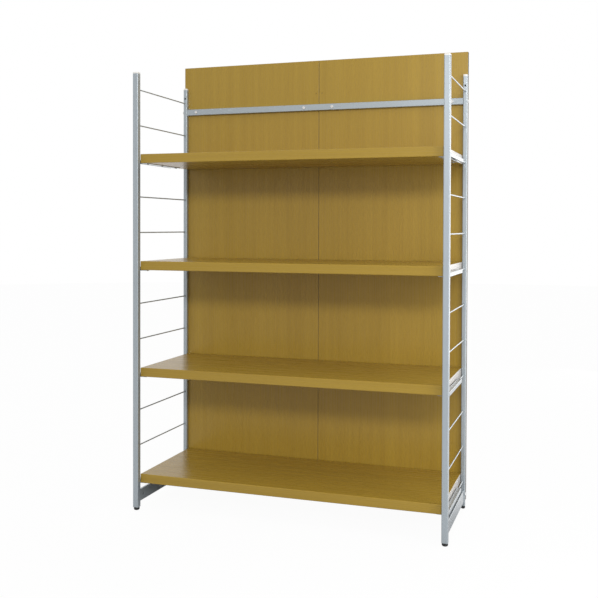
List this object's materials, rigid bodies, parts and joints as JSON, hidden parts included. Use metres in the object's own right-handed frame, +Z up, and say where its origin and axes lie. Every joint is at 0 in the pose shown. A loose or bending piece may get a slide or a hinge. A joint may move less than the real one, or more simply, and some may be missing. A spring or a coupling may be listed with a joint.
{
  "type": "room divider shelving unit",
  "caption": "Free-standing open shelving unit: square-tube ladder side frames with thin rungs, thick wood-grain shelves hung on them, and tall wood-grain back panels as a divider.",
  "frame": {"origin": "on the floor, in the middle of the unit's width and depth", "axes": "+X to the right seen from the open front, +Y from the front to the back panels, +Z up"},
  "size_m": [1.2036, 0.4612, 1.7565],
  "materials": {
    "painted_steel": "smooth silver-grey powder coat with a satin sheen",
    "wood_board": "wood-grain laminate in a light olive brown, satin",
    "black_plastic": "black moulded plastic",
    "white_plastic": "white moulded plastic",
    "zinc_steel": "bright zinc-plated steel"
  },
  "bodies": {
    "frame": {"crossbar_bolts": "zinc_steel", "crossbar_end_plugs": "zinc_steel", "left_back_panel": "wood_board", "left_bottom_rail": "painted_steel", "left_front_foot_insert": "black_plastic", "left_front_post": "painted_steel", "left_front_post_cap": "white_plastic", "left_rear_foot_insert": "black_plastic", "left_rear_post": "painted_steel", "left_rear_post_cap": "white_plastic", "left_rungs": "painted_steel", "lower_crossbar": "painted_steel", "panel_screws": "zinc_steel", "right_back_panel": "wood_board", "right_bottom_rail": "painted_steel", "right_front_foot_insert": "black_plastic", "right_front_post": "painted_steel", "right_front_post_cap": "white_plastic", "right_rear_foot_insert": "black_plastic", "right_rear_post": "painted_steel", "right_rear_post_cap": "white_plastic", "right_rungs": "painted_steel", "upper_crossbar": "painted_steel"},
    "top_shelf_body": {"top_shelf": "wood_board", "top_shelf_hook_screws": "zinc_steel", "top_shelf_left_hook_rail": "painted_steel", "top_shelf_right_hook_rail": "painted_steel"},
    "upper_shelf_body": {"upper_shelf": "wood_board", "upper_shelf_hook_screws": "zinc_steel", "upper_shelf_left_hook_rail": "painted_steel", "upper_shelf_right_hook_rail": "painted_steel"},
    "lower_shelf_body": {"lower_shelf": "wood_board", "lower_shelf_hook_screws": "zinc_steel", "lower_shelf_left_hook_rail": "painted_steel", "lower_shelf_right_hook_rail": "painted_steel"},
    "bottom_shelf_body": {"bottom_shelf": "wood_board", "bottom_shelf_hook_screws": "zinc_steel", "bottom_shelf_left_hook_rail": "painted_steel", "bottom_shelf_right_hook_rail": "painted_steel"},
    "left_front_foot": {"left_front_foot_pad": "black_plastic", "left_front_foot_stud": "zinc_steel"},
    "left_rear_foot": {"left_rear_foot_pad": "black_plastic", "left_rear_foot_stud": "zinc_steel"},
    "right_front_foot": {"right_front_foot_pad": "black_plastic", "right_front_foot_stud": "zinc_steel"},
    "right_rear_foot": {"right_rear_foot_pad": "black_plastic", "right_rear_foot_stud": "zinc_steel"}
  },
  "joints": [
    {"name": "top_shelf_lift", "type": "slide", "parent": "frame", "child": "top_shelf_body", "axis": [0, 0, 1], "range_m": [0, 0.12]},
    {"name": "upper_shelf_lift", "type": "slide", "parent": "frame", "child": "upper_shelf_body", "axis": [0, 0, 1], "range_m": [0, 0.12]},
    {"name": "lower_shelf_lift", "type": "slide", "parent": "frame", "child": "lower_shelf_body", "axis": [0, 0, 1], "range_m": [0, 0.12]},
    {"name": "bottom_shelf_lift", "type": "slide", "parent": "frame", "child": "bottom_shelf_body", "axis": [0, 0, 1], "range_m": [0, 0.12]},
    {"name": "left_front_foot_height", "type": "slide", "parent": "frame", "child": "left_front_foot", "axis": [0, 0, -1], "range_m": [0, 0.015]},
    {"name": "left_rear_foot_height", "type": "slide", "parent": "frame", "child": "left_rear_foot", "axis": [0, 0, -1], "range_m": [0, 0.015]},
    {"name": "right_front_foot_height", "type": "slide", "parent": "frame", "child": "right_front_foot", "axis": [0, 0, -1], "range_m": [0, 0.015]},
    {"name": "right_rear_foot_height", "type": "slide", "parent": "frame", "child": "right_rear_foot", "axis": [0, 0, -1], "range_m": [0, 0.015]}
  ]
}
